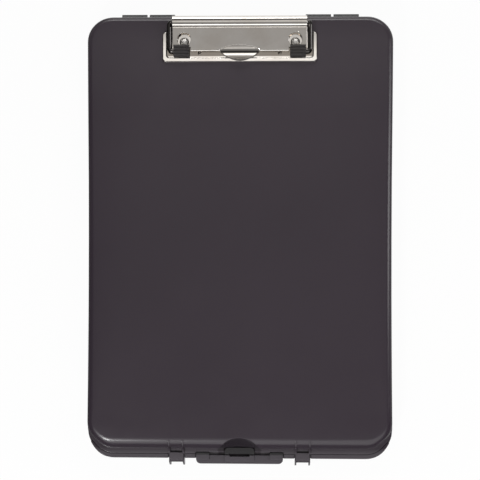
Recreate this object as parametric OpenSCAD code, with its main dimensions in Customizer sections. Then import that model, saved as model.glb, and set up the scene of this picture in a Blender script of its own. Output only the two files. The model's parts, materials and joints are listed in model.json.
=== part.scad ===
// Storage clipboard box: a shallow hinged case whose lid carries a low sheet steel paper clip.
// Millimetres. X runs across the case, +Y towards the hinges and the clip, +Z up through the lid.
// The origin is the centre of the tray's underside.

/* [Case] */
// Width of the case across its sides
case_w = 241; // [225:1:270]
// Length of the case from the front rim to the hinge face
case_l = 352; // [335:1:390]
// Height of the tray up to the seam
tray_h = 12.5; // [11.5:0.5:24]
// Height of the lid above the seam
lid_h = 12.2; // [11.4:0.1:20]
// Wall thickness of both mouldings
wall = 2; // [1.6:0.1:2.4]
// Radius of the case corners seen from above
corner_r = 20; // [15:1:26]
// Radius that rolls the lid's sides and rear edge into its top
side_roll = 4.5; // [3.5:0.25:5.5]
// Radius that rolls the lid's front edge into its top
front_roll = 10; // [8:0.5:10.5]
// Radius that rolls the tray's walls into its underside
foot_roll = 4; // [3:0.25:5]
// Open seam between the lid and the tray
seam = 0.3; // [0.2:0.05:0.5]

/* [Front rim] */
// How far the tray's rim stands out from the front walls
rim_depth = 8; // [7:0.25:9]
// How far the lid's flange stays behind the tray's rim
rim_step = 3.9; // [3.2:0.1:4.4]
// Gap seen from above between the flange's edge and the rim's raised border
rim_gap = 0.5; // [0.3:0.05:0.8]
// Height of the rim's raised border
rim_up = 1.5; // [0.8:0.1:2]
// Thickness of the tray's rim
rim_t = 2.5; // [2:0.1:3]
// Height of the skirt that edges the rim
skirt_h = 4.5; // [3.5:0.25:5]
// Thickness of the skirt
skirt_t = 1.6; // [1.2:0.1:2]
// Thickness of the lid's flange
flange_t = 2.2; // [1.8:0.1:2.6]
// Height of the locating lip inside the lid
lip_h = 1.8; // [1:0.1:2.2]
// Thickness of the locating lip
lip_t = 1.4; // [1:0.1:2]
// Clearance between the lip and the lid's walls
lip_gap = 0.3; // [0.25:0.05:0.5]

/* [Case hinges] */
// Radius of the hinge barrels
barrel_r = 2.8; // [2.6:0.1:3.2]
// Distance from the hinge face out to the hinge axis
hinge_out = 0.3; // [0.2:0.1:1]
// Radius of the hinge pins
pin_r = 1; // [0.8:0.1:1.3]
// Radial clearance of the pins in their bores
pin_gap = 0.05; // [0.02:0.01:0.1]
// Distance from the case's side to the outer end of each hinge
hinge_side = 26; // [22:0.5:32]
// Length of the lid knuckle and of the tray knuckle
knuckle_l = 20; // [14:0.5:22]
// Gap between the two knuckles
knuckle_gap = 2.1; // [1:0.1:3]
// Clearance round a knuckle in the other moulding's pocket
pocket_gap = 0.3; // [0.25:0.05:0.5]

/* [Latch] */
// Width of the latch
latch_w = 69.4; // [60:0.2:78]
// Depth of the latch from back to front
latch_d = 4; // [3.9:0.1:5]
// Height of the latch plate above its pivot
latch_h = 10; // [9.5:0.1:11.5]
// Thickness of the latch's skin
latch_t = 1.8; // [1.4:0.1:2.2]
// Radius of the latch's outer corners seen from above
latch_corner = 3.6; // [2.4:0.1:3.8]
// Radius of the latch's barrel and of the tray's ears
ear_r = 2; // [1.8:0.1:2.4]
// Height of the latch pivot above the table
pivot_z = 4.5; // [4:0.1:5.5]
// Width of each ear
ear_w = 5.8; // [4:0.2:8]
// Distance from the middle of the case to the middle of each ear
ear_x = 21.2; // [17:0.2:23]
// Clearance between the ears and the latch
ear_gap = 0.3; // [0.25:0.05:0.5]
// Clearance between the latch and the front rim
latch_gap = 0.3; // [0.25:0.05:0.6]
// Width of each raised lug at the ends of the latch
lug_w = 10.6; // [8:0.2:12]
// How far the lugs and the latch top stand above the lid's flange
lug_rise = 0.6; // [0.3:0.1:1]
// Overlap of the lugs over the front rim
lug_reach = 4.9; // [3:0.1:5.5]
// Overlap of the latch's ledge, between the lugs, over the front rim
ledge_reach = 2.6; // [1.5:0.1:3]
// Width of the tongue
tongue_w = 23.8; // [18:0.2:28]
// How far the tongue's tip reaches past the lid's front wall
tongue_in = 0.9; // [0.2:0.1:1.2]
// Thickness of the tongue
tongue_t = 2.2; // [1.6:0.1:2.6]
// Width of the window in the tongue
window_w = 16; // [10:0.5:18]
// Length of the window in the tongue
window_l = 2.4; // [1.8:0.1:3]
// Depth of the groove across the tongue in front of its pad
groove_d = 1.2; // [0.6:0.1:1.4]
// Radius of the tongue's corners
tongue_corner = 3; // [1.5:0.25:4]
// Clearance of the tongue in the lid's notch
tongue_gap = 0.5; // [0.3:0.05:0.8]
// Radius of the finger recess in the lid
recess_r = 19.8; // [17:0.1:21]
// Depth of the bowl's lowest point, in front of the lid's wall, below the lid's top
recess_depth = 13.2; // [11:0.1:13.5]
// Height of the bowl's centre above the lid's top
bowl_up = 9; // [8:0.1:10]

/* [Snap hooks] */
// Distance from the middle of the case to the middle of each hook
hook_x = 50.4; // [46:0.2:56]
// Spacing of the two fins beside each hook
fin_pitch = 11; // [9:0.2:14]
// Thickness of a fin
fin_t = 1.3; // [1:0.1:1.8]
// Height that the lid's fins stand proud of the roll
fin_proud = 1.2; // [0.8:0.1:1.6]
// Thickness of the hook's leg
hook_t = 1.4; // [1:0.1:1.8]
// Length of the hook's leg below the seam
hook_drop = 6; // [4:0.25:7]
// Clearance on each side of the hook's leg
hook_gap = 0.3; // [0.25:0.05:0.5]
// Thickness of the bar in front of the hook
guard_t = 1.6; // [1.2:0.1:2.2]
// Height of the bar in front of the hook
guard_h = 7; // [5:0.25:8]
// Length of the prongs in front of the bar
prong_l = 3.3; // [2.5:0.1:5]
// Length of the slot between the fins, in the flange behind each hook
slot_l = 1.6; // [1:0.1:2]
// Distance from the front wall to that slot
slot_back = 1.7; // [1.2:0.1:2.4]

/* [Clip base] */
// Width of the clip base
base_w = 122.8; // [116:0.2:140]
// Length of the clip base's raised frame
base_l = 24.7; // [22.5:0.1:28]
// Distance from the hinge face to the clip's own axis
clip_back = 6.2; // [6:0.1:12]
// Distance from the clip's axis forward to the front of the base
base_reach = 31.2; // [30.6:0.1:34]
// Thickness of the base's sheet
base_t = 1; // [0.8:0.1:1.2]
// Height of the raised frame above the lid
frame_h = 2.4; // [1.8:0.1:2.8]
// Width of the raised frame
frame_w = 3.8; // [3:0.1:4.2]
// Width of the bevel on the raised frame
bevel = 0.9; // [0.5:0.1:1.2]
// Radius of the base's corners seen from above
base_corner = 2.5; // [1.5:0.25:4]
// Distance from the middle of the clip to each dimple behind the front bar
dimple_x = 31.6; // [20:0.2:36]
// Distance from the front bar back to each dimple
dimple_back = 3.7; // [3:0.1:5]
// Radius of the dimples
dimple_r = 1.4; // [0.8:0.1:1.6]
// Height of the dimples
dimple_h = 0.6; // [0.3:0.05:0.7]
// Radius of the lugs that carry the clip's rod
rod_lug_r = 3.3; // [2.8:0.1:3.4]
// Thickness of each of those lugs
rod_lug_t = 1.5; // [1:0.1:2]
// How far each lug's foot reaches back from the rod's middle
rod_foot = 2.2; // [1.8:0.1:2.4]
// Distance from the spine's end to the outer lugs
lug_inset = 4.2; // [3.2:0.1:6]
// Distance from the middle of the clip to the inner lugs
inner_lug_x = 12; // [8:0.5:16]

/* [Clip jaw] */
// Length of the jaw's spine across the case
spine_l = 105.6; // [104:0.2:108]
// Half depth of the spine's bulge from front to back
spine_half = 4.7; // [4.5:0.1:5]
// Height of the spine's bulge above the rod's axis
spine_h = 4.9; // [4.7:0.1:5.4]
// Height of the rod's axis above the lid
spine_z = 5.2; // [5.2:0.1:6]
// Height above the rod's axis at which the plate leaves the spine
root_h = 1.1; // [0.8:0.1:1.4]
// Thickness of the jaw's sheet
jaw_t = 1; // [0.8:0.1:1.1]
// Distance from the spine's axis forward to the hem
hem_reach = 21.4; // [20.6:0.1:22.6]
// Radius of the rolled hem
hem_r = 1.4; // [1.2:0.1:1.6]
// Gap between the closed jaw and the base
jaw_gap = 0.3; // [0.25:0.05:0.5]
// Half width of the thumb lift
lift_half = 16; // [12:0.5:20]
// How far the thumb lift stands forward of the hem
lift_out = 7.8; // [5:0.1:8]
// How far the thumb lift's crease runs back into the plate
lift_in = 3.6; // [2:0.1:5]
// Height that the thumb lift's lip rises
lift_rise = 3.4; // [2:0.1:4]
// Radius of the cut-outs over the rivets
window_r = 5.3; // [4.6:0.1:5.6]
// Distance from the clip's axis forward to the cut-outs' middle
window_y = 13.6; // [13:0.1:14.4]

/* [Clip wire and grips] */
// Radius of the clip's wire
wire_r = 1.9; // [1.5:0.1:1.95]
// Radial clearance of the wire in its lugs
wire_gap = 0.05; // [0.02:0.01:0.1]
// Bend radius of the wire
wire_bend = 2.4; // [2.2:0.1:2.6]
// Distance from the clip's axis forward to the wire's front run
wire_reach = 22.6; // [22.2:0.1:23]
// Length of wire inside each grip
wire_in_grip = 10.5; // [8:0.5:11.5]
// Width of each rubber grip across the case
grip_w = 12.3; // [10:0.1:12.6]
// Depth of each rubber grip from back to front
grip_d = 9.4; // [8.8:0.1:9.6]
// Height of each rubber grip
grip_h = 4.8; // [4.7:0.1:5.2]
// Number of ribs on each grip
rib_count = 4; // [3:1:5]
// Radius of the ribs
rib_r = 0.7; // [0.5:0.05:0.9]
// Depth that a grip takes hold of the jaw plate
grip_bite = 1.7; // [1:0.1:2.2]

/* [Springs] */
// Radius of the spring wire
spring_wire_r = 0.5; // [0.4:0.05:0.55]
// Radius of the spring's coil to the middle of its wire
coil_r = 2.7; // [2.5:0.05:2.8]
// Number of turns in each spring
coil_turns = 7; // [5:1:9]
// Gap between two turns
coil_gap = 0.25; // [0.15:0.05:0.6]
// Distance from the middle of the clip to the first turn
coil_x = 24; // [20:0.5:30]
// Length of the spring's leg along the base
leg_l = 10; // [7:0.5:12]

/* [Rivets] */
// Distance from the middle of the clip to each rivet
rivet_x = 43.8; // [42:0.2:45]
// Distance from the clip's axis forward to the rivets
rivet_y = 15.2; // [14.6:0.1:15.4]
// Radius of the rivet's domed head
head_r = 3.8; // [3.2:0.1:4]
// Height of the domed head
head_h = 1.4; // [1:0.1:1.6]
// Radius of the rivet's shank
shank_r = 2; // [1.6:0.1:2.4]
// Clearance round the shank
shank_gap = 0.05; // [0.02:0.01:0.1]
// Radius of the washer inside the lid
washer_r = 5; // [4.2:0.1:6]
// Thickness of the washer
washer_t = 1; // [0.6:0.1:1.4]
// Height of the rivet's formed tail
tail_h = 1.2; // [0.8:0.1:1.6]

/* [Hidden] */

$fn = 48;
// The numbers of slices in a roll of the lid and of the tray's foot, and their thickness
roll_steps = 9;
foot_steps = 6;
slice_t = 0.02;
// Steps of angle along a spring's coil and along its rear leg, where the leg has reached the
// spine, the leg's last angle, and the facets round the wire
coil_step = 360 / 14;
leg_step = 16;
leg_out = 60;
leg_end = 96;
spring_sides = 8;
// Length by which a cut runs past the faces that it opens
over = 1;
// Parameter at which the spine's bulge starts and ends, its step, and its roundness:
// 1 is an ellipse and less is squarer
spine_from = 12;
spine_step = 6;
spine_round = 0.8;
// Gap between the jaw's cheeks and the wire's arms
arm_gap = 0.2;
// How far the grips stay inside the jaw's ends
grip_inset = 0.8;

// Case levels and edges
lid_z0 = tray_h + seam;
lid_top = lid_z0 + lid_h;
rear_y = case_l / 2;
rim_y = -case_l / 2;
wall_y = rim_y + rim_depth;
flange_y = rim_y + rim_step;
flange_z = lid_z0 + flange_t;
// Length of the flange and the rim back along the sides, past the corners
rim_back = 2 * corner_r + rim_depth;

// Case hinge axis and the knuckles' stations outwards from the middle
hinge_end = case_w / 2 - hinge_side;
hinge_y = rear_y + hinge_out;
hinge_z = tray_h + seam / 2;
lid_x0 = hinge_end - knuckle_l;
tray_x0 = lid_x0 - knuckle_gap - knuckle_l;

// Latch faces
latch_back = rim_y - latch_gap;
latch_front = latch_back - latch_d;
pivot_y = latch_front + ear_r;
latch_top = pivot_z + latch_h;
lug_top = flange_z + lug_rise;
tongue_tip = wall_y + tongue_in;
window_y0 = rim_y + skirt_t;
ledge_y = rim_y + ledge_reach;
tongue_z = lug_top - tongue_t / 2;
recess_y = wall_y + front_roll - recess_r - seam;
bowl_r = recess_depth + bowl_up;

// Hook and guard faces in front of the rim
hook_back = rim_y - hook_gap;
hook_front = hook_back - hook_t;
guard_back = hook_front - hook_gap;
guard_front = guard_back - guard_t;
prong_y = guard_front - prong_l;

// Clip axis and levels
clip_y = rear_y - clip_back;
clip_z = lid_top + spine_z;
base_z = lid_top + base_t;
base_front = clip_y - base_reach;
hem_y = clip_y - hem_reach;
hem_z = base_z + jaw_gap + hem_r;
plate_z = hem_z + hem_r - jaw_t / 2;
wire_y = clip_y - wire_reach;
wire_z = base_z + jaw_gap + grip_h / 2;
wire_x = spine_l / 2 + arm_gap + wire_bend;
wire_tilt = atan((clip_z - wire_z) / wire_reach);
wire_span = wire_reach / cos(wire_tilt);
grip_x1 = spine_l / 2 - grip_inset;
grip_x0 = grip_x1 - grip_w;
grip_y0 = base_front + frame_w + jaw_gap;
grip_y1 = grip_y0 + grip_d;
grip_z0 = base_z + jaw_gap;
corner_y = grip_y1 - grip_bite;
coil_pitch = 2 * spring_wire_r + coil_gap;
rivet_at = clip_y - rivet_y;
rod_lug_x = spine_l / 2 - lug_inset;
root_y = clip_y - spine_half + jaw_t;

plastic = [0.25, 0.23, 0.25];
chrome = [0.78, 0.77, 0.74];
steel = [0.6, 0.6, 0.6];
rubber = [0.1, 0.1, 0.1];

// Rounded rectangle of width w between y0 and y1
module plan(w, y0, y1, r) {
    l = y1 - y0;
    translate([0, (y0 + y1) / 2]) {
        square([w - 2 * r, l], center = true);
        square([w, l - 2 * r], center = true);
        for (sx = [-1, 1], sy = [-1, 1])
            translate([sx * (w / 2 - r), sy * (l / 2 - r)])
                circle(r = r);
    }
}

// Rectangle from y0 to y1 whose corners at y0 are rounded
module rounded_front(half, y0, y1, r) {
    translate([-half, y0 + r])
        square([2 * half, y1 - y0 - r]);
    translate([-half + r, y0])
        square([2 * (half - r), y1 - y0]);
    for (s = [-1, 1])
        translate([s * (half - r), y0 + r])
            circle(r = r);
}

// Corners of the case's plan from height z up, inset on the sides, the rear and the front
module slice(z, side, front, h = slice_t) {
    r = corner_r - side;
    for (sx = [-1, 1], y = [wall_y + front + r, rear_y - corner_r])
        translate([sx * (case_w / 2 - corner_r), y, z])
            cylinder(r = r, h = h);
}

// Round bar along X from x0 to x1 at y and z
module bar(x0, x1, y, z, r) {
    translate([x0, y, z])
        rotate([0, 90, 0])
            cylinder(r = r, h = x1 - x0);
}

// Solid of thickness x1 - x0 along X whose outline is drawn in Y and Z
module profile(x0, x1) {
    translate([x0, 0, 0])
        rotate([90, 0, 90])
            linear_extrude(x1 - x0)
                children();
}

// Repeats its children on the right and, mirrored, on the left
module both_sides() {
    children();
    mirror([1, 0, 0])
        children();
}

// How far a roll of radius r has drawn in at a height up from its start
function drawn_in(r, up) = r - sqrt(max(0, r * r - up * up));

// The lid's form from z0 up, inset by d, with its rolled edges
module lid_form(d, z0) {
    top = lid_top - d;
    rf = front_roll - d;
    rs = side_roll - d;
    hull() {
        slice(z0, d, d, top - rf - z0);
        for (k = [1 : roll_steps]) {
            up = rf * sin(90 * k / roll_steps);
            z = top - rf + up;
            s = drawn_in(rs, max(0, z - top + rs));
            slice(z - slice_t, d + s, d + drawn_in(rf, up));
        }
    }
}

// The tray's form up to z1, inset by d, with its rolled foot
module tray_form(d, z1) {
    r = foot_roll - d;
    hull() {
        slice(d + r, d, d, z1 - d - r);
        for (k = [1 : foot_steps]) {
            up = r * sin(90 * k / foot_steps);
            s = drawn_in(r, up);
            slice(d + r - up, d + s, d + s);
        }
    }
}

// Ring that follows the case's plan between two insets and two heights
module ring(z0, z1, in0, in1) {
    difference() {
        translate([0, 0, z0])
            linear_extrude(z1 - z0)
                plan(case_w - 2 * in0, wall_y + in0, rear_y - in0, corner_r - in0);
        translate([0, 0, z0 - over])
            linear_extrude(z1 - z0 + 2 * over)
                plan(case_w - 2 * in1, wall_y + in1, rear_y - in1, corner_r - in1);
    }
}

// Plate that stands out in front of the walls to y0 and ends flush with the sides
module front_plate(y0, z0, z1, d = 0) {
    translate([0, 0, z0])
        linear_extrude(z1 - z0)
            rounded_front(case_w / 2 - d, y0 + d, y0 + rim_back + d, corner_r - d);
}

// Raised border of the tray's rim, with gaps for the latch and the hooks
module rim_border() {
    side = latch_w / 2 + tongue_gap;
    fins_w = fin_pitch + 2 * fin_t;
    end_y = wall_y + rim_depth / 2;
    difference() {
        front_plate(rim_y, tray_h - over, tray_h + rim_up);
        front_plate(flange_y, tray_h - 2 * over, tray_h + rim_up + over, -rim_gap);
        translate([-case_w, end_y, tray_h - 2 * over])
            cube([2 * case_w, case_l, rim_up + 3 * over]);
        translate([-side, rim_y - over, tray_h])
            cube([2 * side, rim_depth, rim_up + over]);
        both_sides()
            translate([hook_x - fins_w / 2, rim_y - over, tray_h])
                cube([fins_w, rim_depth, rim_up + over]);
    }
}

// Both hinges' bores for the pins
module hinge_bores() {
    both_sides()
        bar(tray_x0 - over, hinge_end + over, hinge_y, hinge_z, pin_r + pin_gap);
}

// Pocket in one moulding round a knuckle of the other
module pocket(x0, l) {
    bar(x0 - knuckle_gap / 2, x0 + l + knuckle_gap / 2, hinge_y, hinge_z, barrel_r + pocket_gap);
}

// Fins beside each hook, with their outline in Y and Z as children
module fins() {
    both_sides()
        for (s = [-1, 1])
            profile(hook_x + s * fin_pitch / 2 - fin_t / 2, hook_x + s * fin_pitch / 2 + fin_t / 2)
                children();
}

// Outline of the lid's fins: a curve that grows proud of the roll and runs down to the flange
module lid_fin_outline() {
    cy = wall_y + front_roll;
    cz = lid_top - front_roll;
    start = 98;
    end = 150;
    polygon(concat(
        [for (a = [start : (end - start) / 8 : end])
            let (r = front_roll + fin_proud * (a - start) / (end - start))
                [cy + r * cos(a), cz + r * sin(a)]],
        [[flange_y, flange_z + fin_proud], [flange_y, lid_z0], [wall_y + wall / 2, lid_z0]],
        [[wall_y + wall / 2, cz], [cy - front_roll / 2, cz + front_roll / 2]]
    ));
}

// Outline of the tray's fins, with the prong that stands in front of the bar
module tray_fin_outline() {
    polygon([
        [wall_y + wall / 2, tray_h],
        [guard_front, tray_h],
        [prong_y, tray_h / 2],
        [prong_y, tray_h / 4],
        [guard_front, tray_h / 5],
        [wall_y + wall / 2, foot_roll / 2]
    ]);
}

// The lid's hook: a tab over the rim and a leg that drops between the rim and the bar
module hook() {
    half = fin_pitch / 2;
    leg = half - fin_t / 2 - hook_gap;
    both_sides() {
        profile(hook_x - half, hook_x + half)
            polygon([
                [wall_y + wall / 2, lid_z0], [hook_front, lid_z0],
                [hook_front, flange_z - hook_t / 2], [hook_front + hook_t / 2, flange_z],
                [wall_y + wall / 2, flange_z]
            ]);
        profile(hook_x - leg, hook_x + leg)
            polygon([
                [hook_back, flange_z - hook_t / 2], [hook_front, flange_z - hook_t / 2],
                [hook_front, tray_h - hook_drop + hook_t], [hook_front + hook_t / 2, tray_h - hook_drop],
                [hook_back, tray_h - hook_drop]
            ]);
    }
}

// Bowl of the finger recess, grown by d
module recess(d) {
    translate([0, recess_y, lid_top + bowl_up])
        sphere(r = bowl_r + d);
}

// Space that the latch's lugs and tongue take out of the lid's flange
module latch_notch() {
    side = latch_w / 2 + tongue_gap;
    mid = tongue_w / 2 + tongue_gap;
    back = rim_y + lug_reach + latch_gap;
    translate([-side, rim_y - over, lid_z0 - over])
        cube([2 * side, back - rim_y + over, lid_h]);
    translate([-mid, rim_y - over, lid_z0 - over])
        cube([2 * mid, tongue_tip + tongue_gap - rim_y + over, lid_h]);
}

// Walls inside the lid behind the tongue's notch
module notch_walls() {
    half = tongue_w / 2 + tongue_gap + wall;
    translate([-half, wall_y, lid_z0])
        cube([2 * half, tongue_in + tongue_gap + wall, lid_h - wall]);
}

module lid() {
    slot_half = fin_pitch / 2 - fin_t / 2;
    color(plastic)
        difference() {
            union() {
                lid_form(0, lid_z0);
                front_plate(flange_y, lid_z0, flange_z);
                fins()
                    lid_fin_outline();
                hook();
                both_sides()
                    bar(lid_x0, hinge_end, hinge_y, hinge_z, barrel_r);
            }
            difference() {
                lid_form(wall, lid_z0 - barrel_r - over);
                recess(wall);
                notch_walls();
            }
            recess(0);
            latch_notch();
            both_sides() {
                pocket(tray_x0, knuckle_l);
                translate([hook_x - slot_half, wall_y - slot_back - slot_l, lid_z0 - over])
                    cube([2 * slot_half, slot_l, flange_t + 2 * over]);
            }
            hinge_bores();
            both_sides()
                translate([rivet_x, rivet_at, lid_top - wall - over])
                    cylinder(r = shank_r + shank_gap, h = wall + 2 * over);
        }
}

module tray() {
    lip_out = wall + lip_gap;
    lip_in = lip_out + lip_t;
    gap_half = recess_r + wall + lip_gap;
    color(plastic)
        difference() {
            union() {
                difference() {
                    union() {
                        tray_form(0, tray_h);
                        front_plate(rim_y, tray_h - rim_t, tray_h);
                        difference() {
                            front_plate(rim_y, tray_h - skirt_h, tray_h);
                            front_plate(rim_y, tray_h - skirt_h - over, tray_h + over, skirt_t);
                        }
                        rim_border();
                        fins()
                            tray_fin_outline();
                        both_sides() {
                            profile(hook_x - fin_pitch / 2, hook_x + fin_pitch / 2)
                                translate([guard_front, tray_h - over - guard_h])
                                    square([guard_t, guard_h]);
                            profile(ear_x - ear_w / 2, ear_x + ear_w / 2)
                                ear_outline();
                            bar(tray_x0, tray_x0 + knuckle_l, hinge_y, hinge_z, barrel_r);
                        }
                    }
                    tray_form(wall, tray_h + barrel_r + over);
                }
                ring(tray_h - rim_t, tray_h, wall / 2, lip_in);
                difference() {
                    ring(tray_h - rim_t, tray_h + lip_h, lip_out, lip_in);
                    translate([-gap_half, wall_y, tray_h])
                        cube([2 * gap_half, front_roll, lip_h + over]);
                }
            }
            translate([-window_w / 2, window_y0, tray_h - 2 * rim_t / 3])
                cube([window_w, window_l, rim_t]);
            both_sides() {
                pocket(lid_x0, knuckle_l);
                bar(0, latch_w / 2, pivot_y, pivot_z, pin_r + pin_gap);
            }
            hinge_bores();
        }
}

// Outline of an ear on the tray's front wall, rounded about the latch's pivot
module ear_outline() {
    translate([pivot_y, pivot_z])
        circle(r = ear_r);
    translate([pivot_y, pivot_z - ear_r])
        square([wall_y + wall / 2 - pivot_y, 2 * ear_r]);
}

module hinge_pin() {
    color(steel)
        bar(tray_x0, hinge_end, hinge_y, hinge_z, pin_r);
}

// Plan of the tongue, with rounded corners at its tip
module tongue_plan() {
    mirror([0, 1, 0])
        rounded_front(tongue_w / 2, -tongue_tip, -latch_back + latch_t, tongue_corner);
}

module latch() {
    half = latch_w / 2;
    inner = half - latch_t;
    color(plastic)
        difference() {
            union() {
                difference() {
                    translate([0, 0, pivot_z])
                        linear_extrude(latch_h)
                            intersection() {
                                rounded_front(half, latch_front, latch_back, latch_corner);
                                translate([-half, latch_front])
                                    square([latch_w, latch_d]);
                            }
                    translate([-inner, latch_front + latch_t, pivot_z - over])
                        cube([2 * inner, latch_d, latch_h + over - latch_t]);
                }
                bar(-half, half, pivot_y, pivot_z, ear_r);
                both_sides()
                    translate([half - lug_w, latch_front + latch_corner, lid_z0])
                        cube([lug_w, rim_y + lug_reach - latch_front - latch_corner, lug_top - lid_z0]);
                translate([-inner, latch_back - latch_t, lid_z0])
                    cube([2 * inner, ledge_y - latch_back + latch_t, latch_top - lid_z0]);
                translate([0, 0, tongue_z - tongue_t / 2])
                    linear_extrude(tongue_t)
                        tongue_plan();
            }
            translate([-window_w / 2, window_y0, lid_z0 - over])
                cube([window_w, window_l, lug_top - lid_z0 + 2 * over]);
            translate([-tongue_w / 2 - over, ledge_y, lug_top - groove_d])
                cube([tongue_w + 2 * over, window_y0 + window_l - ledge_y, groove_d + over]);
            both_sides()
                bar(
                    ear_x - ear_w / 2 - ear_gap, ear_x + ear_w / 2 + ear_gap,
                    pivot_y, pivot_z, ear_r + ear_gap
                );
            bar(-half - over, half + over, pivot_y, pivot_z, pin_r + pin_gap);
        }
}

module latch_pin() {
    color(steel)
        bar(-latch_w / 2, latch_w / 2, pivot_y, pivot_z, pin_r);
}

// Low dome of radius r and height h on the plane below it
module dome(r, h) {
    ball = (r * r + h * h) / (2 * h);
    rotate_extrude()
        intersection() {
            translate([0, h - ball])
                circle(r = ball);
            square([r, h]);
        }
}

// Block with bevelled edges between z0 and z1, used for the base's raised frame
module bevelled(w, y0, y1, z0, z1, grow) {
    hull() {
        translate([0, 0, z0])
            linear_extrude(slice_t)
                plan(w, y0, y1, base_corner);
        translate([0, 0, z1 - slice_t])
            linear_extrude(slice_t)
                plan(w + 2 * grow, y0 - grow, y1 + grow, base_corner);
    }
}

// Lug that stands up from the base round the clip's rod
module rod_lug(x) {
    profile(x - rod_lug_t / 2, x + rod_lug_t / 2) {
        translate([clip_y, clip_z])
            circle(r = rod_lug_r);
        translate([clip_y - rod_lug_r, lid_top])
            square([rod_lug_r + rod_foot, clip_z - lid_top]);
    }
}

module clip_base() {
    back = base_front + base_l;
    inner_w = base_w - 2 * frame_w;
    tail_w = 2 * rod_lug_x + rod_lug_t;
    color(chrome)
        difference() {
            union() {
                difference() {
                    bevelled(base_w, base_front, back, lid_top, lid_top + frame_h, -bevel);
                    bevelled(
                        inner_w, base_front + frame_w, back + frame_w + 2 * base_corner,
                        base_z, lid_top + frame_h + over, bevel
                    );
                }
                translate([-tail_w / 2, back - over, lid_top])
                    cube([tail_w, clip_y + rod_lug_r - back + over, base_t]);
                both_sides() {
                    rod_lug(rod_lug_x);
                    rod_lug(inner_lug_x);
                    translate([dimple_x, base_front + frame_w + dimple_back, base_z])
                        dome(dimple_r, dimple_h);
                }
            }
            bar(-spine_l / 2, spine_l / 2, clip_y, clip_z, wire_r + wire_gap);
            both_sides()
                translate([rivet_x, rivet_at, lid_top - over])
                    cylinder(r = shank_r + shank_gap, h = base_t + 2 * over);
        }
}

// Outline of the thumb lift seen from above, grown by d
module lift_plan(d) {
    r_in = (lift_half * lift_half + lift_in * lift_in) / (2 * lift_in);
    r_out = (lift_half * lift_half + lift_out * lift_out) / (2 * lift_out);
    intersection() {
        translate([0, hem_y + lift_in - r_in])
            circle(r = r_in + d);
        translate([0, hem_y - lift_out + r_out])
            circle(r = r_out + d);
    }
}

// Point on a bulge of half depth a and height b at parameter t, from 0 at the rear to 180 in front
function bulge(a, b, t) = [
    clip_y + a * sign(cos(t)) * pow(abs(cos(t)), spine_round),
    clip_z + b * pow(sin(t), spine_round)
];

// Outline of the bulge at depth d below its outer face
function spine_line(d) =
    [for (t = [spine_from : spine_step : 180 - spine_from]) bulge(spine_half - d, spine_h - d, t)];

// Sheet section of the jaw: bulged spine, sloping plate and rolled hem
module jaw_outline() {
    inner = spine_line(jaw_t);
    polygon(concat(spine_line(0), [for (k = [len(inner) - 1 : -1 : 0]) inner[k]]));
    polygon([
        [root_y, clip_z + root_h - jaw_t / 2], [root_y, clip_z + root_h + jaw_t / 2],
        [hem_y, plate_z + jaw_t / 2], [hem_y, plate_z - jaw_t / 2]
    ]);
    translate([hem_y, hem_z])
        circle(r = hem_r);
}

// End plate of the spine, round the rod
module cheek_outline() {
    polygon(spine_line(0));
    translate([clip_y, clip_z])
        circle(r = rod_lug_r);
}

module clip_jaw() {
    half = spine_l / 2;
    lip_y = hem_y + jaw_t;
    curve = (pow(lip_y - hem_y + lift_out, 2) + pow(lift_rise, 2)) / (2 * lift_rise);
    color(chrome)
        difference() {
            union() {
                difference() {
                    profile(-half, half)
                        jaw_outline();
                    translate([0, 0, lid_top])
                        linear_extrude(spine_z)
                            lift_plan(0);
                }
                intersection() {
                    profile(-half, half)
                        difference() {
                            translate([lip_y, hem_z - hem_r / 2 + curve])
                                circle(r = curve + jaw_t / 2);
                            translate([lip_y, hem_z - hem_r / 2 + curve])
                                circle(r = curve - jaw_t / 2);
                        }
                    translate([0, 0, lid_top])
                        linear_extrude(2 * spine_z)
                            lift_plan(jaw_t / 3);
                }
                both_sides()
                    profile(half - jaw_t, half)
                        cheek_outline();
            }
            both_sides() {
                translate([rivet_x, clip_y - window_y, lid_top])
                    cylinder(r = window_r, h = 2 * spine_z);
                translate([grip_x0 - jaw_t, hem_y - lift_out, lid_top])
                    cube([half, corner_y - hem_y + lift_out, 2 * spine_z]);
            }
            bar(-half - over, half + over, clip_y, clip_z, wire_r + wire_gap);
        }
}

// Quarter bend of wire about Z, from +X round to +Y
module wire_corner() {
    rotate_extrude(angle = 90)
        translate([wire_bend, 0])
            circle(r = wire_r);
}

// Half of the clip's wire, flat in XY, with the rod along X and the arm forward along -Y
module half_wire() {
    straight = wire_x - wire_bend;
    bar(0, straight, 0, 0, wire_r);
    translate([straight, -wire_bend, 0])
        wire_corner();
    translate([wire_x, -wire_bend, 0])
        rotate([90, 0, 0])
            cylinder(r = wire_r, h = wire_span - 2 * wire_bend);
    translate([straight, -wire_span + wire_bend, 0])
        rotate([0, 0, -90])
            wire_corner();
    bar(grip_x1 - wire_in_grip, straight, -wire_span, 0, wire_r);
}

module clip_wire() {
    color(chrome)
        translate([0, clip_y, clip_z])
            rotate([wire_tilt, 0, 0])
                both_sides()
                    half_wire();
}

// Outline of a grip in Y and Z: a rounded pad with ribs along its top
module grip_outline() {
    r = grip_h / 4;
    translate([grip_y0, grip_z0])
        for (y = [r, grip_d - r], z = [r, grip_h - r])
            translate([y, z])
                circle(r = r);
    translate([grip_y0 + r, grip_z0])
        square([grip_d - 2 * r, grip_h]);
    translate([grip_y0, grip_z0 + r])
        square([grip_d, grip_h - 2 * r]);
    for (k = [0 : rib_count - 1])
        translate([grip_y0 + grip_d * (k + 0.5) / rib_count, grip_z0 + grip_h])
            circle(r = rib_r);
}

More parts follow.
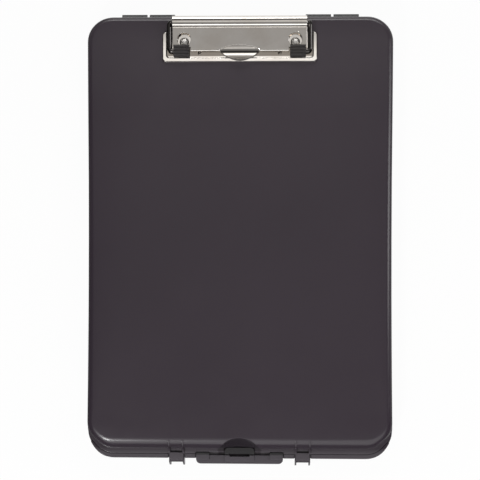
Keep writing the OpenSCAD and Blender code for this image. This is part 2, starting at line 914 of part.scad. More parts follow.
module clip_grip() {
    plate_top = plate_z + jaw_t / 2 + (grip_y1 - hem_y) * (clip_z + root_h - plate_z) / (root_y - hem_y);
    color(rubber)
        difference() {
            profile(grip_x0, grip_x1)
                grip_outline();
            bar(grip_x1 - wire_in_grip - over, grip_x1 + over, wire_y, wire_z, wire_r + wire_gap);
            translate([grip_x0 - over, corner_y - wire_gap, grip_z0 - over])
                cube([grip_w + 2 * over, grip_bite + over, plate_top + wire_gap - grip_z0 + over]);
        }
}

// Place in Y and Z at angle a about the clip's axis, from straight below it round to the rear
function about_rod(x, r, a) = [x, clip_y + r * sin(a), clip_z - r * cos(a)];

// Radius of the spring's rear leg at angle a: it leaves the coil and ends under the spine's edge
function leg_r(a) = coil_r + (spine_half - jaw_t / 2 - coil_r) * min(1, a / leg_out);

// Points along a spring: the leg on the base, the coil and the leg under the spine's edge
spring_path = concat(
    [[coil_x, clip_y - leg_l, base_z + jaw_gap + spring_wire_r]],
    [for (a = [0 : coil_step : 360 * coil_turns]) about_rod(coil_x + coil_pitch * a / 360, coil_r, a)],
    [for (a = [leg_step : leg_step : leg_end]) about_rod(coil_x + coil_pitch * coil_turns, leg_r(a), a)]
);

// Ring of points about p, square to the direction t
function ring_points(p, t) =
    let (u = cross(t, [1, 0, 0]), n = u / norm(u), b = cross(n, t / norm(t)))
        [for (i = [0 : spring_sides - 1])
            p + spring_wire_r * (cos(360 * i / spring_sides) * n + sin(360 * i / spring_sides) * b)];

module clip_spring() {
    last = len(spring_path) - 1;
    n = spring_sides;
    rings = [for (k = [0 : last])
        ring_points(spring_path[k], spring_path[min(k + 1, last)] - spring_path[max(k - 1, 0)])];
    sides = [for (k = [0 : last - 1], i = [0 : n - 1])
        [k * n + i, k * n + (i + 1) % n, (k + 1) * n + (i + 1) % n, (k + 1) * n + i]];
    caps = [[for (i = [n - 1 : -1 : 0]) i], [for (i = [0 : n - 1]) last * n + i]];
    color(steel)
        polyhedron(points = [for (ring = rings, p = ring) p], faces = concat(sides, caps));
}

// Domed rivet through the base, the lid and the washer, with its formed tail
module rivet() {
    stack = base_t + wall + washer_t;
    color(chrome)
        translate([rivet_x, rivet_at, base_z]) {
            dome(head_r, head_h);
            translate([0, 0, -stack - tail_h])
                cylinder(r = shank_r, h = stack + tail_h + head_h / 2);
            translate([0, 0, -stack - tail_h])
                cylinder(r1 = (shank_r + head_r) / 2, r2 = head_r, h = tail_h);
        }
}

module rivet_washer() {
    color(steel)
        translate([rivet_x, rivet_at, lid_top - wall - washer_t])
            difference() {
                cylinder(r = washer_r, h = washer_t);
                translate([0, 0, -over])
                    cylinder(r = shank_r + shank_gap, h = washer_t + 2 * over);
            }
}

// Mirrors a right-hand piece to the left
module left() {
    mirror([1, 0, 0])
        children();
}

tray();
lid();
left() hinge_pin();  // hinge_pin_left
hinge_pin();  // hinge_pin_right
latch();
latch_pin();
clip_base();
clip_jaw();
clip_wire();
left() clip_grip();  // clip_grip_left
clip_grip();  // clip_grip_right
left() clip_spring();  // clip_spring_left
clip_spring();  // clip_spring_right
left() rivet();  // rivet_left
rivet();  // rivet_right
left() rivet_washer();  // rivet_washer_left
rivet_washer();  // rivet_washer_right
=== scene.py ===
import json
import math
from collections import namedtuple

import bmesh
import bpy
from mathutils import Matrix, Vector


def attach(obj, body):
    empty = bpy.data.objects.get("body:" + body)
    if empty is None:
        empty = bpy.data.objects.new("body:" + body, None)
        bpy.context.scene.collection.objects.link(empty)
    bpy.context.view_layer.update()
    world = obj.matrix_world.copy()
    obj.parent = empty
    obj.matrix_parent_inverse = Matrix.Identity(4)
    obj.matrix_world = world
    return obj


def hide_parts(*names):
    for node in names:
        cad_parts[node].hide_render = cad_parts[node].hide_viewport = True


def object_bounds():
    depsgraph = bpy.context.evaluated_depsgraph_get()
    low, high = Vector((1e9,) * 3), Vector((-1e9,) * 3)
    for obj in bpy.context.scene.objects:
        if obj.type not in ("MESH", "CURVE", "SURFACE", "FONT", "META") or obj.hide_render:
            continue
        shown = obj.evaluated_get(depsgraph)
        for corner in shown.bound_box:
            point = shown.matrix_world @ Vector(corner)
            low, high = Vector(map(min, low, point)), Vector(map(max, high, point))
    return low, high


# Storage case whose lid is a clipboard. Lengths are metres and angles degrees, unless a name
# says otherwise. X runs across the case, Y from the latch to the hinges, Z up from the underside.
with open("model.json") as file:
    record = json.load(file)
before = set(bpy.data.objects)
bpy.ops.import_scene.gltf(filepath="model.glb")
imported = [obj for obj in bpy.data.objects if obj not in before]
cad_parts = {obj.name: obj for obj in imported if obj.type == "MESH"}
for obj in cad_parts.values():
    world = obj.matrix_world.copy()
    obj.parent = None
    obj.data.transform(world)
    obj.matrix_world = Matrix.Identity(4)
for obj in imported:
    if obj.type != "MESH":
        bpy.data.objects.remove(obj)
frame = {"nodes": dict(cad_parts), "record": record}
CAD_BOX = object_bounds()
scene = bpy.context.scene
scene.view_settings.view_transform = "Standard"

SLOTS = {p["node"]: p["material_slot"] for p in frame["record"]["subparts"]}
BODIES = {n: body for body, names in frame["record"]["behaviour"]["bodies"].items() for n in names}
PIVOTS = {j["name"]: j["pos_m"] for j in frame["record"]["behaviour"]["joints"]}

# Places on the case: its side, the plane behind which there are only hinge knuckles, a little
# ahead of the hinge axis, and the lid's lower edge, half a seam above that axis
KNUCKLE_LEAD = 0.0001
HALF_SEAM = 0.00015
SIDE_X = CAD_BOX[1][0]
KNUCKLE_Y = PIVOTS["lid_hinge"][1] - KNUCKLE_LEAD
LID_FOOT_Z = PIVOTS["lid_hinge"][2] + HALF_SEAM

# Camera, almost straight above the case
SENSOR_MM = 36.0
LENS_MM = 82.63
CAMERA_HEIGHT = 0.87
CAMERA_TILT = 1.5
CAMERA_TURN = 0.1
CAMERA_AIM = Vector((0.0004, -0.0014, 0.025))
CAMERA_NEAR = 0.01
CAMERA_FAR = 50.0


def make_camera():
    """A camera that looks down at the case from a little to its right."""
    camera = bpy.data.cameras.new("photo_camera")
    camera.sensor_width = SENSOR_MM
    camera.lens = LENS_MM
    camera.clip_start = CAMERA_NEAR
    camera.clip_end = CAMERA_FAR
    obj = bpy.data.objects.new("photo_camera", camera)
    tilt = math.radians(CAMERA_TILT)
    up = Vector((math.sin(tilt), 0.0, math.cos(tilt)))
    obj.location = CAMERA_AIM + CAMERA_HEIGHT * up
    obj.rotation_euler = (0.0, tilt, math.radians(CAMERA_TURN))
    scene.collection.objects.link(obj)
    scene.camera = obj


# Shader nodes: a rise and a fall, the parts of a noise that are spread over one, and white
RISE = (0.0, 1.0)
FALL = (1.0, 0.0)
MIDDLE = (0.3, 0.7)
NARROW = (0.35, 0.65)
UPPER = (0.35, 0.7)
WHITE = (1.0, 1.0, 1.0, 1.0)


def add(tree, kind, **props):
    """A new node with those properties."""
    node = tree.nodes.new(kind)
    for key, value in props.items():
        setattr(node, key, value)
    return node


def empty_tree(owner, output_kind):
    """The emptied nodes of a material or a world, and its surface input."""
    owner.use_nodes = True
    tree = owner.node_tree
    tree.nodes.clear()
    return tree, add(tree, output_kind).inputs["Surface"]


def new_material(name):
    """A material with one Principled shader."""
    material = bpy.data.materials.new(name)
    tree, surface = empty_tree(material, "ShaderNodeOutputMaterial")
    bsdf = add(tree, "ShaderNodeBsdfPrincipled")
    tree.links.new(bsdf.outputs["BSDF"], surface)
    return material, tree, bsdf


def dress(tree, bsdf, color, rough, normal):
    """Gives a shader its colour, roughness and direction."""
    for name, link in (("Base Color", color), ("Roughness", rough), ("Normal", normal)):
        tree.links.new(link, bsdf.inputs[name])


def mix_shader(tree, factor, first, second):
    """From the first shader at 0 to the second at 1."""
    node = add(tree, "ShaderNodeMixShader")
    for socket, link in zip(node.inputs, (factor, first, second)):
        tree.links.new(link, socket)
    return node.outputs[0]


def object_coords(tree):
    """Places in the object's own frame."""
    return add(tree, "ShaderNodeTexCoord").outputs["Object"]


def split(tree, vector):
    """The X, Y and Z of a vector."""
    node = add(tree, "ShaderNodeSeparateXYZ")
    tree.links.new(vector, node.inputs[0])
    return node.outputs["X"], node.outputs["Y"], node.outputs["Z"]


def noise(tree, at, scale, detail=4.0, rough=0.5, stretch=None):
    """Noise between 0 and 1, stretched by a factor on each axis if one is given."""
    if stretch:
        mapping = add(tree, "ShaderNodeMapping")
        mapping.inputs["Scale"].default_value = stretch
        tree.links.new(at, mapping.inputs["Vector"])
        at = mapping.outputs["Vector"]
    node = add(tree, "ShaderNodeTexNoise")
    node.inputs["Scale"].default_value = scale
    node.inputs["Detail"].default_value = detail
    node.inputs["Roughness"].default_value = rough
    tree.links.new(at, node.inputs["Vector"])
    return node.outputs["Fac"]


def fade(tree, value, ends, levels=RISE):
    """From the first level at the first end to the second level at the second end."""
    node = add(tree, "ShaderNodeMapRange")
    for name, number in zip(("From Min", "From Max", "To Min", "To Max"), (*ends, *levels)):
        node.inputs[name].default_value = number
    tree.links.new(value, node.inputs["Value"])
    return node.outputs["Result"]


def calc(tree, operation, *values):
    """One step of arithmetic on sockets and plain numbers."""
    node = add(tree, "ShaderNodeMath", operation=operation)
    for socket, value in zip(node.inputs, values):
        if isinstance(value, (int, float)):
            socket.default_value = value
        else:
            tree.links.new(value, socket)
    return node.outputs["Value"]


def product(tree, first, *others):
    """All the values multiplied."""
    for other in others:
        first = calc(tree, "MULTIPLY", first, other)
    return first


def mix_color(tree, factor, first, second):
    """From the first colour at 0 to the second at 1."""
    node = add(tree, "ShaderNodeMix", data_type="RGBA")
    tree.links.new(factor, node.inputs["Factor"])
    sockets = [s for s in node.inputs if s.type == "RGBA"]
    for socket, color in zip(sockets, (first, second)):
        if isinstance(color, tuple):
            socket.default_value = (*color, 1.0)
        else:
            tree.links.new(color, socket)
    return [s for s in node.outputs if s.type == "RGBA"][0]


def rounded_normal(tree, radius):
    """The surface's direction with its edges rounded by that radius."""
    bevel = add(tree, "ShaderNodeBevel", samples=6)
    bevel.inputs["Radius"].default_value = radius
    return bevel.outputs["Normal"]


def edge_mask(tree, rounded, gain):
    """0 on open faces, towards 1 along the rounded edges."""
    dot = add(tree, "ShaderNodeVectorMath", operation="DOT_PRODUCT")
    tree.links.new(rounded, dot.inputs[0])
    tree.links.new(add(tree, "ShaderNodeNewGeometry").outputs["Normal"], dot.inputs[1])
    gap = calc(tree, "SUBTRACT", 1.0, dot.outputs["Value"])
    return calc(tree, "MINIMUM", product(tree, gap, gain), 1.0)


def bumped(tree, height, normal, distance, strength):
    """The direction of a surface with bumps of that height, up to that distance, on it."""
    node = add(tree, "ShaderNodeBump")
    node.inputs["Distance"].default_value = distance
    node.inputs["Strength"].default_value = strength
    tree.links.new(height, node.inputs["Height"])
    tree.links.new(normal, node.inputs["Normal"])
    return node.outputs["Normal"]


def darker(color, share):
    """A colour at that share of its brightness."""
    return tuple(share * part for part in color)


# Moulded plastic: a base colour, a paler one for its clouds, and one for its edges, which are worn and
# also carry a painted highlight
Plastic = namedtuple("Plastic", "base pale worn")
CASE = Plastic(base=(0.0325, 0.0242, 0.0333), pale=(0.039, 0.0292, 0.0398), worn=(0.06, 0.05, 0.06))
LATCH = Plastic(base=(0.05, 0.042, 0.052), pale=(0.06, 0.051, 0.062), worn=(0.105, 0.092, 0.107))
PLASTIC_SPECULAR = 0.5
CLOUD_SHARE = 0.65
SPECK_SHARE = 0.35
# Radius of its edges, which are worn and carry a painted highlight, how much of their wear and painted
# highlight shows, and by how much they are smoother
PLASTIC_EDGE = 0.0006
WEAR_AND_HIGHLIGHT_SHARE = (0.2, 0.8)
EDGE_POLISH = 0.1

# Painted light on the case's front rim and wall, which are painted paler: its colour, and how it ends
# along Y and beside the latch
RIM_PAINTED_LIGHT = (0.08, 0.07, 0.081)
RIM_LIGHT_END = (-0.1715, -0.1675)
RIM_LIGHT_BESIDE_LATCH = (0.0165, 0.0175)
# The finger recess, darkened with painted shade: its centre along Y, the radius at which it ends, its
# front and foot
RECESS_Y = -0.1781
RECESS_RADIUS = (0.0192, 0.0202)
RECESS_FRONT = (-0.1702, -0.1694)
RECESS_FOOT = (LID_FOOT_Z, LID_FOOT_Z + 0.0006)
RECESS_SHADE_SHARE = 0.65
RECESS_SHADE = darker(CASE.base, 0.3)
# The case is painted paler towards its rear, a painted light from the rear
REAR_LIGHT_START = (0.1, 0.165)
REAR_LIGHT_SHARE = 0.62
# The hinge knuckles, darkened with painted shade
KNUCKLE_START = (KNUCKLE_Y, KNUCKLE_Y + 0.0004)
KNUCKLE_SHADE_SHARE = 0.9
KNUCKLE_SHADE = darker(CASE.base, 0.1)
# The latch's tongue, which starts behind its bar, darkened with painted shade
TONGUE_START = (-0.1735, -0.1725)
TONGUE_SHADE = darker(LATCH.base, 0.15)


def case_by_place(tree, at, color):
    """The case's colour with painted light on its front rim and towards its rear, and painted shade in
    its finger recess and on its knuckles.
    """
    x, y, z = split(tree, at)
    # Painted light: the front rim and wall turn paler
    rim_light = product(tree, fade(tree, y, RIM_LIGHT_END, FALL),
                  fade(tree, calc(tree, "ABSOLUTE", x), RIM_LIGHT_BESIDE_LATCH))
    color = mix_color(tree, rim_light, color, RIM_PAINTED_LIGHT)
    # Painted shade in the finger recess
    ahead = calc(tree, "SUBTRACT", y, RECESS_Y)
    squares = calc(tree, "ADD", calc(tree, "POWER", x, 2.0), calc(tree, "POWER", ahead, 2.0))
    recess_shade = product(tree, fade(tree, calc(tree, "SQRT", squares), RECESS_RADIUS, (RECESS_SHADE_SHARE, 0.0)),
                   fade(tree, y, RECESS_FRONT), fade(tree, z, RECESS_FOOT))
    color = mix_color(tree, recess_shade, color, RECESS_SHADE)
    # Painted light: paler towards the rear
    color = mix_color(tree, fade(tree, y, REAR_LIGHT_START, (0.0, REAR_LIGHT_SHARE)), color, CASE.worn)
    # Painted shade on the hinge knuckles
    return mix_color(tree, fade(tree, y, KNUCKLE_START, (0.0, KNUCKLE_SHADE_SHARE)), color, KNUCKLE_SHADE)


def latch_by_place(tree, at, color):
    """The latch's colour with painted shade on its tongue."""
    y = split(tree, at)[1]
    # Painted shade on the tongue
    return mix_color(tree, fade(tree, y, TONGUE_START), color, TONGUE_SHADE)


def moulded_plastic(name, plastic, roughness, grain, by_place):
    """Charcoal moulding with a fine grain, faint clouds, and edges polished by handling, paler with wear
    and a painted highlight.
    """
    material, tree, bsdf = new_material(name)
    at = object_coords(tree)
    clouds = fade(tree, noise(tree, at, scale=9.0, detail=3.0), MIDDLE)
    specks = noise(tree, at, scale=1900.0, detail=2.0, rough=0.6)
    pores = noise(tree, at, scale=2600.0, detail=3.0, rough=0.65)
    handling = noise(tree, at, scale=38.0, detail=5.0, rough=0.6)
    tone = calc(tree, "ADD", product(tree, clouds, CLOUD_SHARE),
                fade(tree, specks, NARROW, (0.0, SPECK_SHARE)))
    color = mix_color(tree, tone, plastic.base, plastic.pale)
    rounded = rounded_normal(tree, PLASTIC_EDGE)
    edges = edge_mask(tree, rounded, gain=6.0)
    # Edges paler with wear and with a painted highlight
    worn = product(tree, edges, fade(tree, handling, UPPER, WEAR_AND_HIGHLIGHT_SHARE))
    color = by_place(tree, at, mix_color(tree, worn, color, plastic.worn))
    rough = fade(tree, handling, MIDDLE, roughness)
    rough = calc(tree, "SUBTRACT", rough, product(tree, edges, EDGE_POLISH))
    bsdf.inputs["Specular IOR Level"].default_value = PLASTIC_SPECULAR
    dress(tree, bsdf, color, rough, bumped(tree, pores, rounded, distance=grain, strength=0.5))
    return material


# Metals: a bright colour and one for duller places
Metal = namedtuple("Metal", "bright dull")
SHEET = Metal(bright=(0.82, 0.795, 0.765), dull=(0.74, 0.7, 0.655))
# The wire is painted dark: painted shade for the dark room that its bright plating reflects
SHADED_WIRE = Metal(bright=(0.1, 0.094, 0.092), dull=(0.075, 0.07, 0.068))
RIVET = Metal(bright=(0.92, 0.9, 0.87), dull=(0.86, 0.83, 0.8))
SPRING = Metal(bright=(0.42, 0.41, 0.4), dull=(0.3, 0.29, 0.28))
PIN = Metal(bright=(0.55, 0.54, 0.53), dull=(0.42, 0.41, 0.4))
HAIRLINE_DEPTH = 0.02

# A band painted darker on a plate, as painted shade and reflection: its front and rear along Y, and its
# half width along X
PaintedBand = namedtuple("PaintedBand", "front rear half color")
# Painted shade and painted reflection of the jaw on the base's floor under it
BASE_FLOOR_SHADE = PaintedBand(front=0.1434, rear=0.1495, half=0.0575, color=(0.13, 0.11, 0.09))
# Painted reflection on the jaw's thumb lift
THUMB_LIFT_REFLECTION = PaintedBand(front=0.13, rear=0.1466, half=0.03, color=(0.15, 0.138, 0.125))
BAND_SHARE = 0.85
BAND_FRONT_SOFT = 0.0004
BAND_REAR_SOFT = 0.001
BAND_SIDE_SOFT = 0.0005


def band_mask(tree, at, band):
    """BAND_SHARE within the band and 0 away from it."""
    x, y, _ = split(tree, at)
    return product(
        tree,
        fade(tree, y, (band.front, band.front + BAND_FRONT_SOFT)),
        fade(tree, y, (band.rear, band.rear + BAND_REAR_SOFT), FALL),
        fade(tree, calc(tree, "ABSOLUTE", x), (band.half, band.half + BAND_SIDE_SOFT), (BAND_SHARE, 0.0)))


def plated_metal(name, metal, roughness, ripple, radius, band=None):
    """Nickel plate on pressed steel: slight ripple, hairlines and a little tarnish, and painted shade and
    reflection in a band if one is given.
    """
    material, tree, bsdf = new_material(name)
    at = object_coords(tree)
    tarnish = noise(tree, at, scale=55.0, detail=4.0, rough=0.55)
    hairlines = noise(tree, at, scale=900.0, detail=3.0, rough=0.6, stretch=(0.06, 1.0, 1.0))
    waves = noise(tree, at, scale=70.0, detail=1.0, rough=0.4)
    color = mix_color(tree, fade(tree, tarnish, UPPER), metal.bright, metal.dull)
    if band:
        # Painted shade and reflection in the band
        color = mix_color(tree, band_mask(tree, at, band), color, band.color)
    bsdf.inputs["Metallic"].default_value = 1.0
    height = calc(tree, "ADD", product(tree, waves, ripple), product(tree, hairlines, HAIRLINE_DEPTH))
    normal = bumped(tree, height, rounded_normal(tree, radius), distance=0.00012, strength=0.6)
    dress(tree, bsdf, color, fade(tree, hairlines, UPPER, roughness), normal)
    return material


def drawn_steel(name, metal, roughness):
    """Drawn steel wire and turned pins with fine lines along their length."""
    material, tree, bsdf = new_material(name)
    at = object_coords(tree)
    lines = noise(tree, at, scale=1400.0, detail=3.0, rough=0.6, stretch=(0.05, 1.0, 1.0))
    clouds = noise(tree, at, scale=160.0, detail=3.0)
    color = mix_color(tree, fade(tree, clouds, MIDDLE), metal.bright, metal.dull)
    bsdf.inputs["Metallic"].default_value = 1.0
    normal = bumped(tree, lines, rounded_normal(tree, radius=0.0002), distance=0.00004, strength=0.6)
    dress(tree, bsdf, color, fade(tree, lines, MIDDLE, roughness), normal)
    return material


# Rubber: its own colour, its dust, and the greyer edges of its ribs
RUBBER_BLACK = (0.02, 0.017, 0.017)
RUBBER_DUST = (0.036, 0.03, 0.03)
RUBBER_RIBS = (0.07, 0.062, 0.06)
RIB_SHARE = 0.5
RUBBER_ROUGHNESS = (0.42, 0.6)
RUBBER_SPECULAR = 0.45


def ribbed_rubber(name):
    """Black moulded rubber, dull, with a dusty bloom and greyer ribs."""
    material, tree, bsdf = new_material(name)
    at = object_coords(tree)
    pores = noise(tree, at, scale=2200.0, detail=3.0, rough=0.65)
    bloom = noise(tree, at, scale=260.0, detail=4.0, rough=0.6)
    rounded = rounded_normal(tree, radius=0.0004)
    ribs = product(tree, edge_mask(tree, rounded, gain=5.0), RIB_SHARE)
    color = mix_color(tree, fade(tree, bloom, UPPER), RUBBER_BLACK, RUBBER_DUST)
    color = mix_color(tree, ribs, color, RUBBER_RIBS)
    bsdf.inputs["Specular IOR Level"].default_value = RUBBER_SPECULAR
    normal = bumped(tree, pores, rounded, distance=0.00008, strength=0.6)
    dress(tree, bsdf, color, fade(tree, bloom, MIDDLE, RUBBER_ROUGHNESS), normal)
    return material


# Materials by slot, and three more for the nodes in LOOKS
MATERIALS = {
    "case_plastic": moulded_plastic(
        "case_plastic_grained", CASE, roughness=(0.22, 0.27), grain=0.00002, by_place=case_by_place),
    "latch_plastic": moulded_plastic(
        "latch_plastic_satin", LATCH, roughness=(0.34, 0.44), grain=0.00004, by_place=latch_by_place),
    "clip_nickel": plated_metal(
        "clip_nickel_plate", SHEET, roughness=(0.02, 0.05), ripple=0.12, radius=0.0005),
    "wire_nickel": plated_metal(
        "wire_nickel_shaded", SHADED_WIRE, roughness=(0.14, 0.2), ripple=0.2, radius=0.0002),
    "clip_bed": plated_metal(
        "clip_base_plate_painted_shade", SHEET, roughness=(0.02, 0.05), ripple=0.15, radius=0.0005, band=BASE_FLOOR_SHADE),
    "clip_lift": plated_metal(
        "clip_jaw_plate_painted_reflection", SHEET, roughness=(0.02, 0.05), ripple=0.12, radius=0.0005, band=THUMB_LIFT_REFLECTION),
    "rivet_head": plated_metal(
        "rivet_head_plate", RIVET, roughness=(0.42, 0.5), ripple=0.1, radius=0.0002),
    "grip_rubber": ribbed_rubber("grip_rubber_ribbed"),
    "spring_steel": drawn_steel("spring_steel_wire", SPRING, roughness=(0.22, 0.38)),
    "pin_steel": drawn_steel("pin_steel_turned", PIN, roughness=(0.2, 0.34)),
}

# Nodes whose look differs from the rest of their slot
LOOKS = {
    "clip_base": "clip_bed",
    "clip_jaw": "clip_lift",
    "rivet_left": "rivet_head",
    "rivet_right": "rivet_head",
}


def paint(obj, node):
    """Gives an object the look of that node."""
    obj.data.materials.clear()
    obj.data.materials.append(MATERIALS[LOOKS.get(node, SLOTS[node])])


# Outward shift of the long walls: places along Y, and the shift there
SIDE_SHIFT = [
    (-0.17, 0.001), (-0.144, 0.0009), (-0.128, 0.0007), (-0.096, 0.0004), (-0.049, 0.0001),
    (0.0, 0.00005), (0.046, 0.0002), (0.093, 0.00062), (0.117, 0.0008), (0.152, 0.00105),
    (0.185, 0.0011),
]
# How far in from the side the shift starts, and the width over which it grows
SIDE_START = 0.0255
SIDE_FADE = 0.023
# Outward lean of the walls: the lid's at its lower edge and its draft, and the tray's draft
LID_LEAN = 0.00045
LID_DRAFT = 0.1
TRAY_DRAFT = 0.036
# How far the rear wall is drawn in, where that starts, and the length over which it grows
REAR_DRAW = 0.0005
REAR_Y = 0.15
REAR_FADE = 0.02
# The front corners are pulled in: their centre, how far behind it the pull still reaches, the
# distance at which it starts and over which it grows, and its size, direction and spread
CORNER_X = 0.0985
CORNER_Y = -0.150
CORNER_MARGIN = 0.01
CORNER_START = 0.012
CORNER_FADE = 0.008
CORNER_PULL = 0.0013
CORNER_TURN = 40.0
CORNER_SPREAD = 22.0

# Surfaces: the distance at which points are one, a length that counts as none, the angle from
# which an edge is sharp, and the cuts across the long walls that let them bend
WELD = 2e-6
TINY = 1e-7
SHARP_ANGLE = 32.0
CUT_STEP = 0.0225
CUTS_EACH_WAY = 6


def clamp(value):
    """A value kept between 0 and 1."""
    return min(1.0, max(0.0, value))


def along(table, at):
    """The value of a table at that place, straight between its points."""
    if at <= table[0][0]:
        return table[0][1]
    for (start, first), (end, last) in zip(table, table[1:]):
        if at <= end:
            return first + (last - first) * (at - start) / (end - start)
    return table[-1][1]


def lid_lean(z):
    """How far the lid's walls lean out at that height."""
    return LID_LEAN - LID_DRAFT * (z - LID_FOOT_Z)


def tray_lean(z):
    """How far the tray's walls lean out at that height."""
    return TRAY_DRAFT * z


def moulded_shift(x, y, z, lean):
    """Shift of a point on a case wall: the long walls sink a little towards the middle of the
    case and lean out to the parting line, the rear wall is drawn in and the front corners are
    a little flatter than an arc."""
    side = clamp((abs(x) - SIDE_X + SIDE_START) / SIDE_FADE)
    outward = side * (along(SIDE_SHIFT, y) + lean(z))
    rear = clamp((y - REAR_Y) / REAR_FADE) if y < KNUCKLE_Y else 0.0
    forward = REAR_DRAW * rear
    aside = abs(x) - CORNER_X
    ahead = CORNER_Y - y
    if aside > 0.0 and ahead > -CORNER_MARGIN:
        reach = clamp((math.hypot(aside, ahead) - CORNER_START) / CORNER_FADE)
        turn = math.atan2(ahead, aside)
        off_centre = (math.degrees(turn) - CORNER_TURN) / CORNER_SPREAD
        pull = CORNER_PULL * reach * math.exp(-off_centre ** 2)
        outward -= pull * math.cos(turn)
        forward -= pull * math.sin(turn)
    return math.copysign(1.0, x) * outward, -forward


def cut_across(bm):
    """Cuts a mesh at even steps along Y."""
    for k in range(-CUTS_EACH_WAY, CUTS_EACH_WAY + 1):
        bmesh.ops.bisect_plane(
            bm, geom=bm.verts[:] + bm.edges[:] + bm.faces[:], dist=TINY,
            plane_co=(0.0, CUT_STEP * k, 0.0), plane_no=(0.0, 1.0, 0.0))


def skin(node, lean=None):
    """A welded, smooth surface in place of a solid. With a lean, its walls shift as moulded."""
    mesh = frame["nodes"][node].data.copy()
    bm = bmesh.new()
    bm.from_mesh(mesh)
    bmesh.ops.remove_doubles(bm, verts=bm.verts, dist=WELD)
    bmesh.ops.dissolve_degenerate(bm, dist=TINY, edges=bm.edges)
    if lean:
        cut_across(bm)
        for vert in bm.verts:
            dx, dy = moulded_shift(*vert.co, lean)
            vert.co.x += dx
            vert.co.y += dy
    for face in bm.faces:
        face.smooth = True
    limit = math.radians(SHARP_ANGLE)
    for edge in bm.edges:
        edge.smooth = len(edge.link_faces) == 2 and edge.calc_face_angle(0.0) < limit
    bm.to_mesh(mesh)
    bm.free()
    obj = bpy.data.objects.new(node + "_surface", mesh)
    scene.collection.objects.link(obj)
    paint(obj, node)
    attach(obj, BODIES[node])
    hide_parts(node)


# Floor: half its width, how far it lies below the case, its grey where light falls on it, and
# the share of its own white that the camera and reflections see
FLOOR_HALF = 4.0
FLOOR_DROP = 0.0004
FLOOR_GREY = 0.9
FLOOR_GLOW = 0.95
# Where the floor's reflection fades along Y in front of the case and along X beside it, and
# the share that it loses at both ends of each fade
FRONT_FADE = ((-0.194, -0.181), (0.95, 0.1))
LEFT_FADE = ((-0.125, -0.118), (0.85, 0.0))
RIGHT_FADE = ((0.118, 0.125), (0.0, 0.6))


def floor_material():
    """White to the camera, and darker around the case in reflections."""
    material = bpy.data.materials.new("floor_white")
    tree, surface = empty_tree(material, "ShaderNodeOutputMaterial")
    diffuse = add(tree, "ShaderNodeBsdfDiffuse")
    diffuse.inputs["Color"].default_value = (FLOOR_GREY, FLOOR_GREY, FLOOR_GREY, 1.0)
    glow = add(tree, "ShaderNodeEmission")
    glow.inputs["Color"].default_value = WHITE
    ray = add(tree, "ShaderNodeLightPath").outputs
    x, y, _ = split(tree, object_coords(tree))
    lost = fade(tree, y, *FRONT_FADE)
    for side in (LEFT_FADE, RIGHT_FADE):
        lost = calc(tree, "MAXIMUM", lost, fade(tree, x, *side))
    dim = product(tree, ray["Is Glossy Ray"], lost)
    tree.links.new(calc(tree, "SUBTRACT", 1.0, dim), glow.inputs["Strength"])
    seen = calc(tree, "MAXIMUM", ray["Is Camera Ray"], ray["Is Glossy Ray"])
    seen = calc(tree, "MAXIMUM", seen, ray["Is Transmission Ray"])
    shade = mix_shader(tree, product(tree, seen, FLOOR_GLOW), diffuse.outputs[0], glow.outputs[0])
    tree.links.new(shade, surface)
    return material


def make_floor():
    """A wide plain floor."""
    mesh = bpy.data.meshes.new("floor")
    bm = bmesh.new()
    bmesh.ops.create_grid(bm, x_segments=1, y_segments=1, size=FLOOR_HALF)
    bm.to_mesh(mesh)
    bm.free()
    mesh.materials.append(floor_material())
    obj = bpy.data.objects.new("floor", mesh)
    obj.location = (0.0, 0.0, -FLOOR_DROP)
    scene.collection.objects.link(obj)


# Studio in reflections: the angle from straight up, negative towards the front, and the
# brightness there, which is a little warm but for the first
CARDS = [
    (-90, 0.1), (-62, 0.1), (-40, 0.12), (-16, 0.2), (-10, 0.36), (-5, 0.4), (5, 0.5), (8, 1.1),
    (9.6, 1.2), (10.4, 0.7), (11.2, 0.28), (20, 0.22), (27, 0.06), (36, 0.05), (43, 1.1), (90, 1.1),
]
CARD_TINT = (1.0, 0.975, 0.945)
# The studio darkens towards both sides, by the sideways part of the direction
ASIDE = (0.2, 0.42)
ASIDE_LEVELS = (1.0, 0.2)


def card_ramp(tree, angle):
    """The colour of the studio at that angle in radians."""
    ramp = add(tree, "ShaderNodeValToRGB")
    ramp.color_ramp.interpolation = "LINEAR"
    elements = ramp.color_ramp.elements
    while len(elements) > 1:
        elements.remove(elements[-1])
    first = CARDS[0][1]
    elements[0].position = 0.0
    elements[0].color = (first, first, first, 1.0)
    for degrees, level in CARDS[1:]:
        card = elements.new((degrees + 90.0) / 180.0)
        card.color = (*[level * tint for tint in CARD_TINT], 1.0)
    tree.links.new(fade(tree, angle, (-math.pi / 2, math.pi / 2)), ramp.inputs["Fac"])
    return ramp.outputs["Color"]


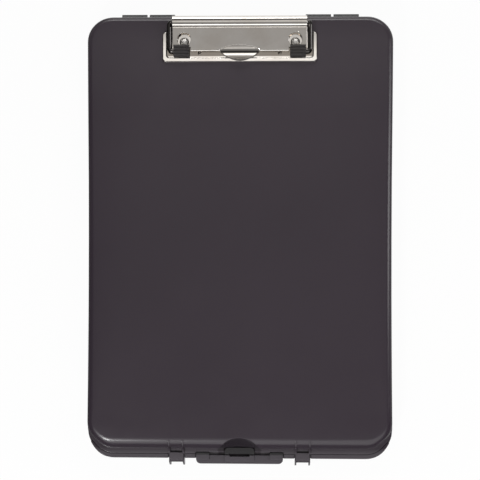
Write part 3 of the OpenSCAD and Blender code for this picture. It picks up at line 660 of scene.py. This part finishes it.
def make_world():
    """White to the camera, and in reflections a dark studio with bright cards."""
    scene.world = bpy.data.worlds.new("studio")
    tree, surface = empty_tree(scene.world, "ShaderNodeOutputWorld")
    x, y, z = split(tree, add(tree, "ShaderNodeTexCoord").outputs["Generated"])
    studio = add(tree, "ShaderNodeBackground")
    tree.links.new(card_ramp(tree, calc(tree, "ARCTAN2", y, z)), studio.inputs["Color"])
    strength = fade(tree, calc(tree, "ABSOLUTE", x), ASIDE, ASIDE_LEVELS)
    tree.links.new(strength, studio.inputs["Strength"])
    white = add(tree, "ShaderNodeBackground")
    white.inputs["Color"].default_value = WHITE
    white.inputs["Strength"].default_value = 1.0
    camera_ray = add(tree, "ShaderNodeLightPath").outputs["Is Camera Ray"]
    shade = mix_shader(tree, camera_ray, studio.outputs[0], white.outputs[0])
    tree.links.new(shade, surface)


# Soft lights
LIGHTS = {
    "key_left": dict(place=(-0.44, -0.88, 0.95), target=(0.0, -0.05, 0.0), size=(0.12, 0.12), watts=5.0),
    "front_soft": dict(place=(0.0, -0.72, 0.58), target=(0.0, -0.12, 0.0), size=(1.3, 0.72), watts=4.2),
    "fill_right": dict(place=(1.3, 0.1, 0.75), target=(0.0, 0.0, 0.0), size=(0.5, 0.9), watts=5.0),
    "back_soft": dict(place=(0.1, 1.25, 0.9), target=(0.0, 0.0, 0.0), size=(1.4, 0.4), watts=7.0),
}


def area_light(name, place, target, size, watts):
    """A rectangular light of that size across and up, which faces its target."""
    light = bpy.data.lights.new(name, "AREA")
    light.shape = "RECTANGLE"
    light.size, light.size_y = size
    light.energy = watts
    obj = bpy.data.objects.new(name, light)
    obj.location = place
    direction = Vector(target) - Vector(place)
    obj.rotation_euler = direction.to_track_quat("-Z", "Y").to_euler()
    scene.collection.objects.link(obj)


# Scene
make_camera()
for name in SLOTS:
    paint(frame["nodes"][name], name)
skin("lid", lid_lean)
skin("tray", tray_lean)
for name in ("clip_base", "clip_jaw", "clip_spring_left", "clip_spring_right"):
    skin(name)
make_floor()
make_world()
for name, values in LIGHTS.items():
    area_light(name, **values)
